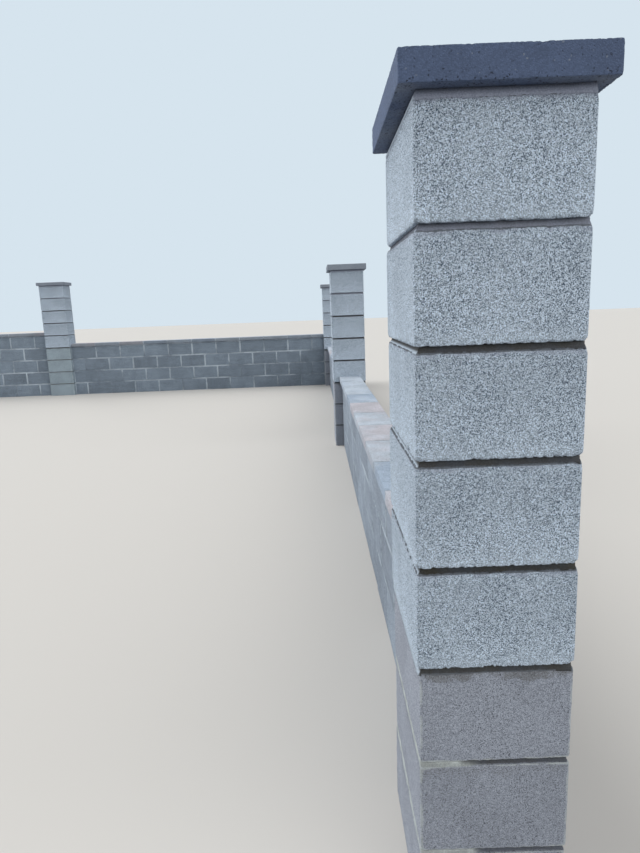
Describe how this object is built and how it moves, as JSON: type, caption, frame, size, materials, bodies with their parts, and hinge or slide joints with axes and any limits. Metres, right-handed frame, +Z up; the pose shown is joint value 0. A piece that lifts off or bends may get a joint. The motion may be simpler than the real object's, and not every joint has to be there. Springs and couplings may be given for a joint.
{
  "type": "concrete block garden wall",
  "caption": "Low garden wall of concrete blocks on an L-shaped plan, in coped bays between taller capped piers, stepping up along one leg.",
  "frame": {"origin": "middle of the corner pier's foot, on the ground", "axes": "+Z up; the front run lies along -Y from the corner pier and the return run along -X; +X is the street side of the front run"},
  "size_m": [9.7006, 9.802, 2.083],
  "materials": {
    "rough_block": "coarse porous concrete, light grey with dark and pale specks",
    "smooth_block": "smooth moulded concrete, mid grey",
    "wall_block": "moulded concrete, blue grey",
    "pier_mortar": "raked mortar, grey",
    "cap_slab": "cast concrete, dark slate grey",
    "coping_slab": "cast concrete, pale blue grey",
    "wall_mortar": "flush mortar, pale grey"
  },
  "bodies": {
    "root": {"pier_1_base": "smooth_block", "pier_1_blocks": "rough_block", "pier_1_mortar": "pier_mortar", "pier_1_cap": "cap_slab", "pier_2_base": "smooth_block", "pier_2_blocks": "rough_block", "pier_2_mortar": "pier_mortar", "pier_2_cap": "cap_slab", "pier_3_base": "smooth_block", "pier_3_blocks": "rough_block", "pier_3_mortar": "pier_mortar", "pier_3_cap": "cap_slab", "pier_4_base": "smooth_block", "pier_4_blocks": "rough_block", "pier_4_mortar": "pier_mortar", "pier_4_cap": "cap_slab", "pier_5_base": "smooth_block", "pier_5_blocks": "rough_block", "pier_5_mortar": "pier_mortar", "pier_5_cap": "cap_slab", "bay_1_wall": "wall_block", "bay_1_coping": "coping_slab", "bay_1_coping_joints": "wall_mortar", "bay_2_wall": "wall_block", "bay_2_coping": "coping_slab", "bay_2_coping_joints": "wall_mortar", "bay_3_wall": "wall_block", "bay_3_coping": "coping_slab", "bay_3_coping_joints": "wall_mortar", "bay_4_wall": "wall_block", "bay_4_coping": "coping_slab", "bay_4_coping_joints": "wall_mortar"}
  },
  "joints": []
}
